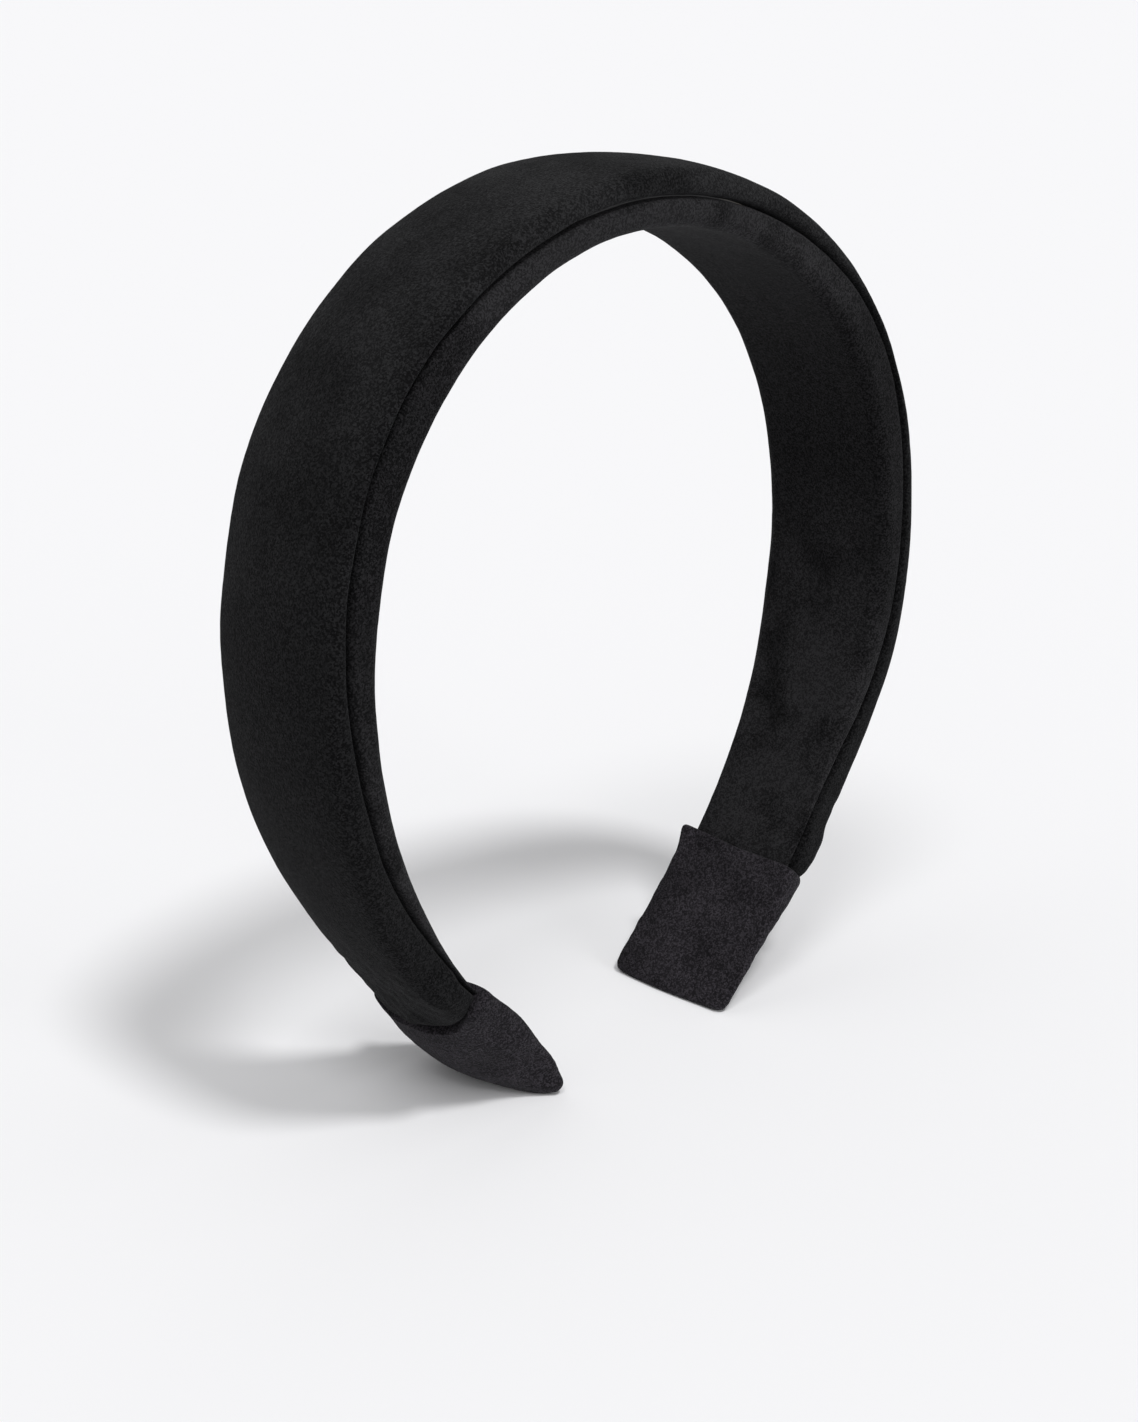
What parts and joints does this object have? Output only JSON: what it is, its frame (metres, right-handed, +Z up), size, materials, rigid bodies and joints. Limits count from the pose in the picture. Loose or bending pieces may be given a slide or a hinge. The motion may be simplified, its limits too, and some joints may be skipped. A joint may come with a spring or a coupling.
{
  "type": "padded headband",
  "caption": "Wide padded velvet headband: a sprung C-shaped band between two foam-padded velvet layers, with folded velvet tabs on its tips. It stands on the tips.",
  "frame": {"origin": "on the resting plane, half way between the two tips, at the middle of the band's width", "axes": "+Z up through the top of the crown, X across the head from the left arm to the right arm, Y along the width of the band, with -Y at the side seen first"},
  "size_m": [0.1432, 0.0296, 0.1585],
  "materials": {
    "cover_velvet": "black short-pile velvet with a soft sheen at the rolled edges",
    "lining_velvet": "black short-pile velvet, mottled where the nap is brushed",
    "tab_velvet": "slightly warmer black velvet, folded and glued",
    "foam": "dark open-cell sponge",
    "adhesive": "thin cloth-backed double-sided film",
    "spring_plastic": "satin moulded plastic"
  },
  "bodies": {
    "crown": {"spring_band_crown": "spring_plastic", "outer_bond_crown": "adhesive", "inner_bond_crown": "adhesive", "outer_foam_crown": "foam", "inner_foam_crown": "foam", "outer_cover_crown": "cover_velvet", "inner_lining_crown": "lining_velvet"},
    "left_arm": {"spring_band_left": "spring_plastic", "outer_bond_left": "adhesive", "inner_bond_left": "adhesive", "outer_foam_left": "foam", "inner_foam_left": "foam", "outer_cover_left": "cover_velvet", "inner_lining_left": "lining_velvet", "end_tab_left": "tab_velvet"},
    "right_arm": {"spring_band_right": "spring_plastic", "outer_bond_right": "adhesive", "inner_bond_right": "adhesive", "outer_foam_right": "foam", "inner_foam_right": "foam", "outer_cover_right": "cover_velvet", "inner_lining_right": "lining_velvet", "end_tab_right": "tab_velvet"}
  },
  "joints": [
    {"name": "left_flex", "type": "hinge", "parent": "crown", "child": "left_arm", "pos_m": [-0.04634, 0, 0.14263], "axis": [0, 1, 0], "range_deg": [0, 15], "stiffness_Nm_per_rad": 0.8},
    {"name": "right_flex", "type": "hinge", "parent": "crown", "child": "right_arm", "pos_m": [0.04634, 0, 0.14263], "axis": [0, -1, 0], "range_deg": [0, 15], "stiffness_Nm_per_rad": 0.8}
  ]
}
